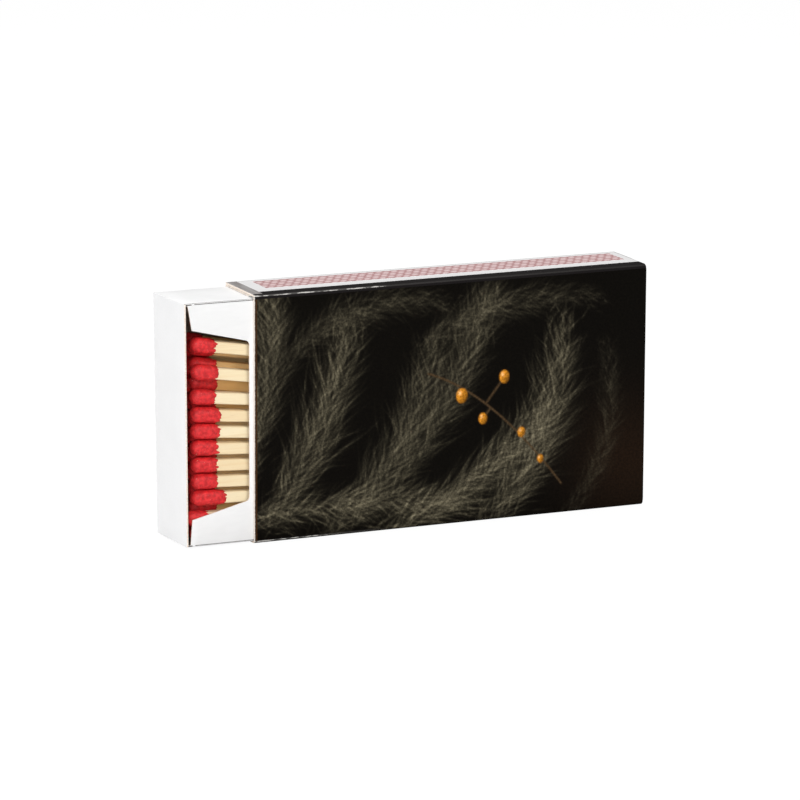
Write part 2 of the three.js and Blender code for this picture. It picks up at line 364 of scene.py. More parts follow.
def fold_wear_and_highlight(shader, base):
    """The print broken along the folds, where the white board shows, and an even pale grey along every
    fold, which is a painted highlight.
    """
    fold = shader.attribute("fold").outputs["Fac"]
    flecks = shader.noise(1500, shader.scaled((0.3, 1, 1)), detail=3)
    torn = shader.range(shader.plus(flecks, shader.times(fold, 0.34)), 0.76, 0.88)
    rubbed = shader.times(torn, shader.range(fold, 0.25, 0.8), clamp=True)
    # Painted highlight: an even pale grey along every fold, on top of the rubbed-through flecks
    faint = shader.times(fold, 0.13)
    return shader.mix(shader.math("MAXIMUM", rubbed, faint), base, BARE_BOARD_AND_HIGHLIGHT)


def printed_panel():
    """The front panel: the picture is a colour on the mesh's points, and the ink has a fine mottle."""
    shader = Shader("printed_panel", roughness=0.38, specular=0.04)
    picture = shader.attribute("picture").outputs["Color"]
    mottle = shader.range(shader.noise(1900, detail=4), 0.35, 0.65, 0.75, 1.3)
    inked = shader.mix(1.0, picture, mottle, "MULTIPLY")
    shader.colour(fold_wear_and_highlight(shader, inked))
    shader.roughness(shader.range(shader.noise(160), 0.3, 0.7, 0.34, 0.46))
    shader.bump(shader.noise(1500, detail=5), 0.12, PAPER_GRAIN)
    return shader.material


def printed_back(low, high):
    """The back's print, which the photograph doesn't show: black with faint upright blades of grass."""
    shader = Shader("printed_back", roughness=0.38, specular=0.04)
    x, _, z = shader.axes()
    bent = shader.times(shader.minus(shader.noise(45, detail=2), 0.5), 7 * MM)
    blades = shader.tree.nodes.new("ShaderNodeCombineXYZ")
    shader.put(shader.plus(x, bent), blades.inputs[0])
    shader.put(shader.times(z, 0.05), blades.inputs[2])
    streaks = shader.range(shader.noise(900, blades.outputs[0], detail=5), 0.5, 0.72)
    height = high.z - low.z
    faded = shader.range(z, low.z + 0.15 * height, low.z + 0.85 * height, 1, 0)
    clumps = shader.range(shader.noise(60, detail=2), 0.4, 0.65)
    share = shader.times(shader.times(streaks, faded), clumps)
    shader.colour(fold_wear_and_highlight(shader, shader.mix(share, tuple(INK_DARK), tuple(INK_GREY / 2))))
    shader.bump(shader.noise(1500, detail=5), 0.12, PAPER_GRAIN)
    return shader.material


def printed_side(low, high):
    """Narrow sides: white board, with the black print running over from the front and the left end. That
    print is coloured lighter than the front's black, and grey at the left end, as a painted reflection.
    """
    shader = Shader("printed_side", roughness=0.55, specular=0.35)
    x, y, _ = shader.axes()
    ragged = shader.times(shader.minus(shader.noise(1200), 0.5), INK_RAGGEDNESS)
    from_front = shader.plus(shader.minus(y, low.y), ragged)
    from_left = shader.plus(shader.minus(x, low.x), ragged)
    soft = INK_SOFTNESS
    left_ink = shader.range(from_left, LEFT_BLEED - soft, LEFT_BLEED + soft, 1, 0)
    bleed = shader.range(left_ink, 0, 1, FRONT_BLEED, CORNER_BLEED)
    front_ink = shader.range(shader.minus(from_front, bleed), -soft, soft, 1, 0)
    ink = shader.math("MAXIMUM", front_ink, left_ink)
    from_back = shader.minus(high.y, y)
    from_right = shader.minus(high.x, x)
    # A grey band darkens the board along the back and right edges
    rim = shader.range(shader.math("MINIMUM", from_back, from_right), 0, EDGE_DARK_WIDTH, 0.75, 0)
    board = shader.mix(shader.noise(500), *SIDE_BOARD)
    board = shader.mix(rim, board, SIDE_RIM)
    drawn = shader.noise(900, shader.scaled((1, 0.12, 1)), detail=3)
    # Painted reflection: the print at the left end is grey, and elsewhere on the narrow sides lighter
    # than the front's black
    left_ink_and_sheen = shader.mix(shader.range(drawn, 0.35, 0.65), *LEFT_INK_AND_SHEEN)
    tone = shader.mix(front_ink, left_ink_and_sheen, SIDE_INK_AND_SHEEN)
    shader.colour(fold_wear_and_highlight(shader, shader.mix(ink, board, tone)))
    shader.put(shader.range(ink, 0, 1, 0.35, 0.04), shader.surface.inputs["Specular IOR Level"])
    shader.bump(shader.noise(1400, detail=5), 0.15, PAPER_GRAIN)
    return shader.material


def plain_board(name, dark, light):
    """Unprinted card with short fibres and faint cloudiness."""
    shader = Shader(name, roughness=0.62, specular=0.3)
    fibres = shader.noise(1300, shader.scaled((0.25, 1, 1)), detail=6)
    clouds = shader.noise(140, detail=3)
    shade = shader.math("MULTIPLY_ADD", fibres, 0.5, shader.times(clouds, 0.5))
    shader.colour(shader.mix(shader.range(shade, 0.35, 0.65), dark, light))
    shader.roughness(shader.range(clouds, 0.3, 0.7, 0.55, 0.68))
    shader.bump(fibres, 0.16, PAPER_GRAIN)
    return shader.material


def cut_board(name, dark, light):
    """The cut edge of the card: warm open fibres in thin layers."""
    shader = Shader(name, roughness=0.9, specular=0.15)
    layers = shader.noise(4200, shader.scaled((0.2, 1, 1)), detail=4)
    shader.colour(shader.mix(shader.range(layers, 0.35, 0.65), dark, light))
    shader.bump(layers, 0.5, 0.05 * MM)
    return shader.material


def striking_surface():
    """A honeycomb of dusty red lines on a thin pink wash, gritty to the touch."""
    shader = Shader("striking_surface", roughness=0.85, specular=0.2)
    x, y, _ = shader.axes()
    tall = math.sqrt(3)
    u = shader.math("DIVIDE", x, HONEYCOMB_PITCH)
    v = shader.math("DIVIDE", y, HONEYCOMB_PITCH)

    def from_middle(place, shift, size):
        within = shader.math("FLOORED_MODULO", shader.plus(place, shift), size)
        return shader.math("ABSOLUTE", shader.minus(within, size / 2))

    def cell(shift_u, shift_v):
        a = from_middle(u, shift_u, 1)
        b = from_middle(v, shift_v, tall)
        lean = shader.math("MULTIPLY_ADD", a, 0.5, shader.times(b, tall / 2))
        return shader.math("MAXIMUM", lean, shader.times(a, HONEYCOMB_UPRIGHT))

    inner = shader.math("MINIMUM", cell(0, 0), cell(0.5, tall / 2))
    grit = shader.noise(3800, detail=5)
    edge = shader.math("MULTIPLY_ADD", shader.minus(grit, 0.5), 0.12, inner)
    line = shader.range(edge, 0.5 - HONEYCOMB_LINE, 0.5 - HONEYCOMB_LINE / 2)
    red = shader.mix(grit, *COAT_LINE)
    wash = shader.mix(grit, *COAT_WASH)
    shader.colour(shader.mix(line, wash, red))
    shader.bump(shader.math("MULTIPLY_ADD", grit, 0.5, line), 0.6, 0.05 * MM)
    return shader.material


def splint_wood():
    """Pale aspen with fine grain along the match, brown in its pores."""
    shader = Shader("splint_wood", roughness=0.68, specular=0.25)
    tone = shader.attribute("tone").outputs["Fac"]
    grain = shader.noise(1500, shader.scaled((0.03, 1, 1)), detail=6, roughness=0.6)
    pores = shader.noise(3600, shader.scaled((0.05, 1, 1)), detail=3)
    # The tone runs from brown, painted shade on the deeper layers, to pale on the front layer, with a
    # random spread
    base = shader.mix(tone, *SPLINT_SHADE_TO_PALE)
    streaked = shader.mix(shader.range(grain, 0.45, 0.75, 0, 0.45), base, SPLINT_GRAIN)
    pored = shader.mix(shader.range(pores, 0.64, 0.76, 0, 0.25), streaked, SPLINT_PORE)
    shader.colour(pored)
    shader.bump(grain, 0.35, 0.05 * MM)
    return shader.material


def head_composition():
    """The red head: gritty, with pale specks, and a mottled red that is darker in the hollows of its
    bumps as painted shade.
    """
    shader = Shader("head_composition", roughness=0.55, specular=0.4)
    lumps = shader.noise(1100, detail=5)
    specks = shader.noise(3200, detail=2)
    # Painted shade: the red darkens where the lumps' bump is low
    body = shader.mix(shader.range(lumps, 0.3, 0.7), *HEAD_RED)
    pale = shader.range(specks, 0.68, 0.77, 0, 0.85)
    shader.colour(shader.mix(pale, body, HEAD_SPECK))
    shader.bump(shader.math("MULTIPLY_ADD", specks, 0.4, lumps), 0.7, 0.12 * MM)
    return shader.material


# Picture on the front panel, drawn in millimetres from the panel's lower left corner


PICTURE_CELL = 0.2
STROKE_STEP = 0.12
INK_DARK = np.array([0.0030, 0.0023, 0.0015])
INK_GREY = np.array([0.30, 0.262, 0.170])
INK_WARM = np.array([0.012, 0.005, 0.002])
INK_STAIN = np.array([0.050, 0.022, 0.008])

# Plumes of dry grass: start, bend and tip, widest half-width, brightness
PLUMES = [
    ((2, 4), (20, 22), (26, 56), 13.0, 0.75),
    ((14, -4), (44, 14), (50, 50), 12.5, 0.60),
    ((30, -3), (62, 6), (84, 30), 11.0, 0.90),
    ((-4, 16), (6, 40), (4, 66), 12.0, 0.60),
    ((60, -4), (84, 12), (86, 52), 13.0, 0.90),
    ((84, -4), (106, 14), (98, 46), 8.0, 0.20),
    ((36, 8), (58, 34), (66, 62), 12.0, 0.55),
    ((-6, 6), (26, 10), (62, 5), 8.0, 0.80),
    ((44, 44), (60, 62), (98, 56), 9.0, 0.30),
    ((8, 44), (22, 64), (54, 58), 9.0, 0.30),
]

# Barbs of a plume: how they crowd along its stem, their angles to it in degrees, their lengths as
# shares of its half-width, and their curl and sweep in radians
BARBS_PER_PLUME = 1700
BARB_CROWDING = (1.2, 1.15)
BARB_ANGLES = (8, 50)
BARB_LENGTHS = (0.4, 1.5)
SHORTEST_BARB = 1.5
LONGEST_BARB = 1.9
BARB_CURL = 0.35
BARB_SWEEP = 0.25
BARB_SCATTER = 0.18
BARB_LIGHTS = (0.15, 1)
BARB_GAIN = 2.2
PLUME_FOOT = 0.06
PLUME_BLUNTNESS = 0.7
STROKE_INK = 0.16
STROKE_ONSET = 5

# Development of the grass: blurs in cells, and the tone curve
SOFT_BLUR = 5
CRISP_BLUR = 0.5
CRISP_FLOOR = 0.05
GRASS_EXPOSURE = 0.55
GRASS_CONTRAST = 1.8
GRASS_LIGHT = 0.85

# Warm glow at the panel's lower right
GLOW_MIDDLE = (106, 12)
GLOW_REACH = 16
GLOW_SHARE = 0.8

# Rose hips on one twig: middle and half-width
HIPS = [
    ((57.5, 33.5), 1.7),
    ((63.5, 27.0), 1.3),
    ((69.5, 37.5), 1.5),
    ((74.5, 22.5), 1.2),
    ((80.0, 15.0), 1.0),
]
HIP_STRETCH = 1.25
HIP_RIM = 0.25
HIP_AMBER = np.array([0.68, 0.26, 0.02])
HIP_SHINE = np.array([0.5, 0.4, 0.25])
SHINE_PLACE = 0.35
SHINE_SIZE = 0.05
TWIG = ((48, 40), (66, 34), (86, 8))
TWIG_HALF = 0.28
TWIG_BROWN = np.array([0.07, 0.042, 0.020])
TWIG_POINTS = 160
STALK_POINTS = 40


def curve_at(points, t):
    """Points and directions on a curve with one bend."""
    a, b, c = (np.array(p, float) for p in points)
    t = np.asarray(t)[:, None]
    place = (1 - t) ** 2 * a + 2 * t * (1 - t) * b + t**2 * c
    along = 2 * (1 - t) * (b - a) + 2 * t * (c - b)
    return place, along / np.linalg.norm(along, axis=1)[:, None]


def splat(canvas, places, values):
    """Adds values to the canvas at places, shared between the four nearest cells."""
    at = places / PICTURE_CELL
    cell = np.floor(at).astype(int)
    part = at - cell
    for du in (0, 1):
        for dv in (0, 1):
            u, v = cell[:, 0] + du, cell[:, 1] + dv
            share = np.abs(1 - du - part[:, 0]) * np.abs(1 - dv - part[:, 1])
            inside = (u >= 0) & (v >= 0) & (u < canvas.shape[0]) & (v < canvas.shape[1])
            np.add.at(canvas, (u[inside], v[inside]), (values * share)[inside])


def draw_plume(canvas, points, half_width, brightness):
    """Fine curled strokes on both sides of a bent stem, thinning out towards their tips."""
    count = BARBS_PER_PLUME
    t = rng.beta(*BARB_CROWDING, count)
    start, along = curve_at(points, t)
    side = rng.choice([-1.0, 1.0], count)
    spread = np.radians(rng.uniform(*BARB_ANGLES, count)) * side
    envelope = np.sin(np.pi * np.clip(t * (1 - PLUME_FOOT) + PLUME_FOOT, 0, 1)) ** PLUME_BLUNTNESS
    length = half_width * envelope * rng.uniform(*BARB_LENGTHS, count) + SHORTEST_BARB
    curl = rng.normal(0, BARB_CURL, count) - BARB_SWEEP * side
    light = brightness * rng.uniform(*BARB_LIGHTS, count) ** 3 * BARB_GAIN
    steps = int(half_width * LONGEST_BARB / STROKE_STEP)
    heading = np.arctan2(along[:, 1], along[:, 0]) + spread
    place = start + rng.normal(0, BARB_SCATTER * half_width, start.shape)
    for step in range(steps):
        done = step * STROKE_STEP / length
        fade = np.clip(1 - done, 0, 1) * np.clip(done * STROKE_ONSET, 0, 1)
        splat(canvas, place, light * fade * STROKE_INK)
        turn = heading + curl * done
        place = place + STROKE_STEP * np.stack([np.cos(turn), np.sin(turn)], 1)


def blurred(canvas, radius):
    """The canvas with a soft blur of that many cells."""
    u = np.fft.fftfreq(canvas.shape[0])[:, None]
    v = np.fft.fftfreq(canvas.shape[1])[None, :]
    keep = np.exp(-2 * (np.pi * radius) ** 2 * (u**2 + v**2))
    return np.real(np.fft.ifft2(np.fft.fft2(canvas) * keep))


def draw_picture(width, height):
    """Colours of the front panel on a grid of small cells."""
    columns, rows = int(width / PICTURE_CELL) + 2, int(height / PICTURE_CELL) + 2
    grass = np.zeros((columns, rows))
    for start, bend, tip, half_width, brightness in PLUMES:
        draw_plume(grass, (start, bend, tip), half_width, brightness)
    soft = np.clip(blurred(grass, SOFT_BLUR), 0, None)
    crisp = np.clip(blurred(grass, CRISP_BLUR), 0, None) / (soft + CRISP_FLOOR)
    body = 1 - np.exp(-GRASS_EXPOSURE * soft)
    grey = np.clip(body * crisp**GRASS_CONTRAST * GRASS_LIGHT, 0, 1)
    colours = INK_DARK + grey[..., None] * (INK_GREY - INK_DARK)
    u = np.arange(columns)[:, None] * PICTURE_CELL
    v = np.arange(rows)[None, :] * PICTURE_CELL
    glow_u, glow_v = GLOW_MIDDLE
    warm = np.exp(-(((u - glow_u) / GLOW_REACH) ** 2) - ((v - glow_v) / GLOW_REACH) ** 2) * GLOW_SHARE
    colours = colours + warm[..., None] * INK_WARM * (1 - grey[..., None])
    draw_twig(colours, u, v)
    return np.clip(colours, 0, 1)


def draw_twig(colours, u, v):
    """A thin brown twig with small amber hips."""
    places, _ = curve_at(TWIG, np.linspace(0, 1, TWIG_POINTS))
    near = np.full(colours.shape[:2], np.inf)
    stalks = []
    for middle, _ in HIPS:
        foot = places[np.argmin(np.linalg.norm(places - np.array(middle), axis=1))]
        stalks.append(np.linspace(foot, middle, STALK_POINTS))
    for place in np.concatenate([places, *stalks]):
        near = np.minimum(near, np.hypot(u - place[0], v - place[1]))
    stem = np.clip(1.4 - near / TWIG_HALF, 0, 1)[..., None]
    colours[:] = colours * (1 - stem) + stem * TWIG_BROWN
    for (middle_u, middle_v), half in HIPS:
        across = (u - middle_u) / half
        up = (v - middle_v) / (half * HIP_STRETCH)
        reach = np.hypot(across, up)
        inside = np.clip((1 - reach) * half / HIP_RIM, 0, 1)[..., None]
        lit = np.clip(0.75 - 0.45 * across + 0.35 * up, 0.15, 1)[..., None]
        from_shine = (across + SHINE_PLACE) ** 2 + (up - SHINE_PLACE) ** 2
        shine = np.exp(-(from_shine / SHINE_SIZE))[..., None]
        amber = lit * HIP_AMBER + shine * HIP_SHINE
        colours[:] = colours * (1 - inside) + inside * amber


def sampled(grid, u, v):
    """The grid's colours at millimetre places, between its cells."""
    cell_u = np.clip(u / PICTURE_CELL, 0, grid.shape[0] - 1.001)
    cell_v = np.clip(v / PICTURE_CELL, 0, grid.shape[1] - 1.001)
    i, j = cell_u.astype(int), cell_v.astype(int)
    a, b = (cell_u - i)[:, None], (cell_v - j)[:, None]
    low = grid[i, j] * (1 - a) + grid[i + 1, j] * a
    high = grid[i, j + 1] * (1 - a) + grid[i + 1, j + 1] * a
    return low * (1 - b) + high * b


# Mesh building


def new_object(name, vertices, faces, materials, indices=None, smooth=True):
    mesh = bpy.data.meshes.new(name)
    mesh.from_pydata([tuple(v) for v in vertices], [], [tuple(f) for f in faces])
    for material in materials:
        mesh.materials.append(material)
    if indices is not None:
        mesh.polygons.foreach_set("material_index", np.asarray(indices, dtype=np.int32))
    mesh.polygons.foreach_set("use_smooth", np.full(len(mesh.polygons), smooth))
    mesh.update()
    made = bpy.data.objects.new(name, mesh)
    bpy.context.collection.objects.link(made)
    return made


def sharpen(made, degrees):
    """Keeps edges sharper than the angle sharp, and the rest smooth."""
    made.data.set_sharp_from_angle(angle=math.radians(degrees))


def arc(middle, radius, start, end, steps=ARC_STEPS):
    """Points on an arc, from one angle to the other in degrees."""
    angles = np.radians(np.linspace(start, end, steps + 1))
    return [(middle[0] + radius * math.cos(a), middle[1] + radius * math.sin(a)) for a in angles]


def spaced(a, b, step):
    """Points on the straight line from a to b, both ends left out."""
    count = max(1, round(math.dist(a, b) / step))
    return [tuple(p + (q - p) * i / count for p, q in zip(a, b)) for i in range(1, count)]


def tube_quads(first, count, station_count, inward=False):
    """Faces along X over rings of that many points, by station and then by point."""
    quads = []
    for i in range(station_count - 1):
        for j in range(count):
            k = (j + 1) % count
            a, b = first + i * count, first + (i + 1) * count
            quad = (a + j, b + j, b + k, a + k)
            quads.append(quad[::-1] if inward else quad)
    return quads


def opened(made):
    """The object's mesh, open for work."""
    bm = bmesh.new()
    bm.from_mesh(made.data)
    bm.verts.ensure_lookup_table()
    return bm


def keep_mesh(bm, made):
    """Turns all faces outwards and gives the mesh to the object."""
    bmesh.ops.recalc_face_normals(bm, faces=bm.faces)
    bm.to_mesh(made.data)
    bm.free()


def fill_between(bm, rings):
    """Fills the gap between rings of points, each given by its first point and its count."""
    edges = []
    for first, count in rings:
        ring = [bm.verts[first + j] for j in range(count)]
        edges += [bm.edges.get((ring[j], ring[(j + 1) % count])) for j in range(count)]
    filled = bmesh.ops.triangle_fill(bm, edges=edges, use_beauty=True)
    return [item for item in filled["geom"] if isinstance(item, bmesh.types.BMFace)]


def card_tube(name, low, high, skins, materials, indices=None, cut=0):
    """A tube along X with an outer and an inner skin, closed at both ends with cut card.

    Each skin is its loop of points, which begin with Y and Z, and its number of stations.
    """
    vertices, faces, rings = [], [], []
    for (loop, station_count), inward in zip(skins, (False, True)):
        first, count = len(vertices), len(loop)
        stations = np.linspace(low.x, high.x, station_count)
        vertices.extend((x, point[0], point[1]) for x in stations for point in loop)
        faces += tube_quads(first, count, station_count, inward)
        rings.append((first, count, station_count))
    made = new_object(name, vertices, faces, materials, indices)
    bm = opened(made)
    for at_end in (False, True):
        ends = [(first + (stations - 1) * count * at_end, count) for first, count, stations in rings]
        for face in fill_between(bm, ends):
            face.material_index = cut
            face.smooth = False
    keep_mesh(bm, made)
    return made


# Share of rubbed print and of painted highlight at the points round the lower and upper front folds
LOWER_WEAR_AND_HIGHLIGHT = (0, 1.0, 0.7, 0, 0)
UPPER_WEAR_AND_HIGHLIGHT = (0, 0, 0.5, 1.0, 0, 0)
LOWER_BACK_WEAR_AND_HIGHLIGHT = 0.4
UPPER_BACK_WEAR_AND_HIGHLIGHT = 0.3
RIM_WEAR_AND_HIGHLIGHT = 1.8

# How the rubbed print and the painted highlight fade along the folds: millimetres from the left end, and
# the shares there. The lower fold has both
WEAR_AND_HIGHLIGHT_FADE = ((0, 33, 37, 110), (1.1, 1.1, 0.4, 0.25))
LOWER_FADE = ((0, 10, 24, 40), (1.0, 0.9, 0.7, 0.0))


def sleeve_loops(low, high):
    """The section's outer loop of (y, z, material, fold mark) points, and its inner one of (y, z) points.
    The fold mark is the share of rubbed print and painted highlight.
    """
    r, card = SLEEVE_FOLD, SLEEVE_CARD
    front, back, bottom, top = low.y, high.y, low.z, high.z
    under = top - card
    outer = []

    def add(points, material, fold_mark=0.0):
        outer.extend((y, z, material, fold_mark) for y, z in points)

    corner = arc((front + r, bottom + r), r, 180, 270)
    for share, (y, z) in zip(LOWER_WEAR_AND_HIGHLIGHT, corner[:-1]):
        add([(y, z)], SLEEVE_FRONT, share)
    add(corner[-1:], SLEEVE_SIDE)
    add(spaced(corner[-1], (back - r, bottom), PLAIN_STEP), SLEEVE_SIDE)
    corner = arc((back - r, bottom + r), r, 270, 360)
    add(corner[:-1], SLEEVE_SIDE, LOWER_BACK_WEAR_AND_HIGHLIGHT)
    add(corner[-1:], SLEEVE_BACK)
    add(spaced(corner[-1], (back, under - FLAP_FOLD), PLAIN_STEP), SLEEVE_BACK)
    corner = arc((back - FLAP_FOLD, under - FLAP_FOLD), FLAP_FOLD, 0, FLAP_TURN)
    add(corner, SLEEVE_BACK, UPPER_BACK_WEAR_AND_HIGHLIGHT)
    add([(back - EDGE_TUCK, under + EDGE_GAP)], SLEEVE_CUT)
    add([(back, under + EDGE_START)], SLEEVE_CUT)
    add([(back, top - EDGE_CHAMFER)], SLEEVE_CUT)
    add([(back - EDGE_CHAMFER, top)], SLEEVE_SIDE)
    corner = arc((front + r, top - r), r, 90, 180)
    add(spaced((back, top), corner[0], PLAIN_STEP), SLEEVE_SIDE)
    for share, (y, z) in zip(UPPER_WEAR_AND_HIGHLIGHT, corner):
        add([(y, z)], SLEEVE_SIDE, share)
    add(spaced(corner[-1], (front, bottom + r), PRINT_STEP), SLEEVE_FRONT)

    s = r - card
    inner = []
    inner += arc((front + card + s, bottom + card + s), s, 180, 270)
    inner += arc((back - card - s, bottom + card + s), s, 270, 360)
    inner += arc((back - card - s, under - card - s), s, 0, 90)
    flap_end = back - card - FLAP_WIDTH
    inner += [(flap_end, under - card), (flap_end, under - FLAP_SLIT)]
    inner += [(back - 2 * r, under - FLAP_SLIT), (back - 2 * r, under)]
    inner += arc((front + card + s, under - s), s, 90, 180)
    return outer, inner


def sleeve(materials):
    """The folded card of the sleeve: an outer and an inner skin, closed at both ends."""
    low, high = node_box("sleeve")
    outer, inner = sleeve_loops(low, high)
    outer_count = round((high.x - low.x) / PRINT_STEP) + 1
    indices = [point[2] for point in outer] * (outer_count - 1)
    indices += [SLEEVE_INSIDE] * len(inner) * (INNER_STATIONS - 1)
    folds = [max(RIM_WEAR_AND_HIGHLIGHT, point[3]) for point in outer]
    folds += [point[3] for point in outer] * (outer_count - 1)
    folds += [0.0] * len(inner) * INNER_STATIONS
    skins = ((outer, outer_count), (inner, INNER_STATIONS))
    made = card_tube("card_sleeve", low, high, skins, materials, indices, SLEEVE_CUT)
    paint_sleeve(made, low, high, folds)
    soften_sleeve(made, low, high)
    sharpen(made, 40)
    return made


def paint_sleeve(made, low, high, folds):
    """Puts the picture, and the rubbed print and painted highlight of the folds, on the points."""
    count = len(made.data.vertices)
    places = np.empty(count * 3)
    made.data.vertices.foreach_get("co", places)
    places = places.reshape(-1, 3)
    u = (places[:, 0] - low.x) / MM
    v = (places[:, 2] - low.z) / MM
    grid = draw_picture((high.x - low.x) / MM, (high.z - low.z) / MM)
    colours = np.tile(np.append(INK_DARK, 1.0), (count, 1))
    front = places[:, 1] < low.y + SLEEVE_FOLD
    colours[front, :3] = sampled(grid, u[front], v[front])
    colours[front & (u < RIM_STAIN / MM), :3] = INK_STAIN
    picture = made.data.attributes.new("picture", "FLOAT_COLOR", "POINT")
    picture.data.foreach_set("color", colours.ravel())
    share = np.interp(u, *WEAR_AND_HIGHLIGHT_FADE)
    lower_share = np.interp(u, *LOWER_FADE)
    upper = np.where(places[:, 2] > (low.z + high.z) / 2, 1.0, lower_share)
    fold = made.data.attributes.new("fold", "FLOAT", "POINT")
    fold.data.foreach_set("value", np.asarray(folds) * share * upper)


def soften_sleeve(made, low, high):
    """Bows and ripples the broad panels a little, and pushes the front's right corners in."""
    middle = (low.y + high.y) / 2
    for vertex in made.data.vertices:
        place = vertex.co
        u = (place.x - low.x) / (high.x - low.x)
        v = (place.z - low.z) / (high.z - low.z)
        bow = PANEL_BOW * math.sin(math.pi * v) * math.sin(math.pi * u)
        ripple = PANEL_RIPPLE * noise.noise(Vector((u * 5, v * 3, 1.7)))
        shift = (bow + ripple) * min(1, PANEL_RISE * v, PANEL_RISE * (1 - v))
        place.y += shift if place.y > middle else -shift
        for corner_z in (low.z, high.z):
            away = math.dist((place.x, place.z), (high.x, corner_z))
            if away < BRUISE_REACH and place.y < middle:
                place.x -= BRUISE_DEPTH * (1 - away / BRUISE_REACH) ** 2


# Tray


def solid_block(low, high, cuts=(1, 1, 1)):
    """A box mesh with its sides divided into cells."""
    bm = bmesh.new()
    bmesh.ops.create_cube(bm, size=1)
    for axis, count in enumerate(cuts):
        for step in range(1, count):
            place = Vector((0, 0, 0))
            place[axis] = step / count - 0.5
            normal = Vector((0, 0, 0))
            normal[axis] = 1
            everything = bm.verts[:] + bm.edges[:] + bm.faces[:]
            bmesh.ops.bisect_plane(bm, geom=everything, plane_co=place, plane_no=normal)
    for vertex in bm.verts:
        vertex.co = Vector(l + (c + 0.5) * (h - l) for l, c, h in zip(low, vertex.co, high))
    mesh = bpy.data.meshes.new("block")
    bm.to_mesh(mesh)
    bm.free()
    made = bpy.data.objects.new("block", mesh)
    bpy.context.collection.objects.link(made)
    return made


def prism(outline, y0, y1):
    """A solid with an outline in X and Z, from y0 to y1."""
    count = len(outline)
    vertices = [(x, y, z) for y in (y0, y1) for x, z in outline]
    faces = [tuple(range(count)), tuple(range(2 * count - 1, count - 1, -1))]
    faces += [(i, i + count, (i + 1) % count + count, (i + 1) % count) for i in range(count)]
    made = new_object("prism", vertices, faces, [])
    keep_mesh(opened(made), made)
    return made


def combine(target, tool, operation):
    """Adds or cuts one solid with another, and removes the tool."""
    modifier = target.modifiers.new("combine", "BOOLEAN")
    modifier.object = tool
    modifier.operation = operation
    modifier.solver = "EXACT"
    apply_modifiers(target)
    bpy.data.objects.remove(tool, do_unlink=True)


def apply_modifiers(made):
    graph = bpy.context.evaluated_depsgraph_get()
    mesh = bpy.data.meshes.new_from_object(made.evaluated_get(graph))
    made.modifiers.clear()
    old = made.data
    made.data = mesh
    bpy.data.meshes.remove(old)


def tray_tube(low, high):
    """Floor, two narrow sides and cover, with rounded folds outside and square ones inside."""
    r, card = TRAY_FOLD, TRAY_CARD
    corners = (
        (low.y + r, low.z + r, 180),
        (high.y - r, low.z + r, 270),
        (high.y - r, high.z - r, 0),
        (low.y + r, high.z - r, 90),
    )
    outer = []
    for y, z, start in corners:
        outer += arc((y, z), r, start, start + 90)
    inner = [
        (low.y + card, low.z + card),
        (high.y - card, low.z + card),
        (high.y - card, high.z - card),
        (low.y + card, high.z - card),
    ]
    skins = ((outer, TRAY_STATIONS), (inner, TRAY_STATIONS))
    return card_tube("card_tray", low, high, skins, [])


def window_outline(low, high):
    """Outline of the window in X and Z: two slanted ears at its left, rounded corners at its right."""
    wall = low.x + TRAY_CARD
    reach = low.x + WINDOW_REACH
    fold = TRAY_FOLD + FOLD_CUT_WIDTH
    slope = (EAR_ROOT_HEIGHT - EAR_TIP_HEIGHT) / (reach - wall - EAR_TIP_GAP)
    near = WINDOW_CORNER

    def ear(base, way, fold_gap):
        corner = (reach, base + way * EAR_ROOT_HEIGHT)
        start = (reach - near, corner[1] - way * near * slope)
        end = (reach, corner[1] + way * near)
        bend = []
        for t in np.linspace(0, 1, EAR_CORNER_POINTS):
            ways = zip(start, corner, end)
            bend.append(tuple((1 - t) ** 2 * a + 2 * t * (1 - t) * b + t * t * c for a, b, c in ways))
        return [
            (wall, base + way * fold),
            (wall + fold_gap, base + way * fold),
            (wall + EAR_TIP_GAP, base + way * EAR_TIP_HEIGHT),
            *bend,
        ]

    return ear(low.z, 1, LOWER_EAR_GAP) + ear(high.z, -1, UPPER_EAR_GAP)[::-1]


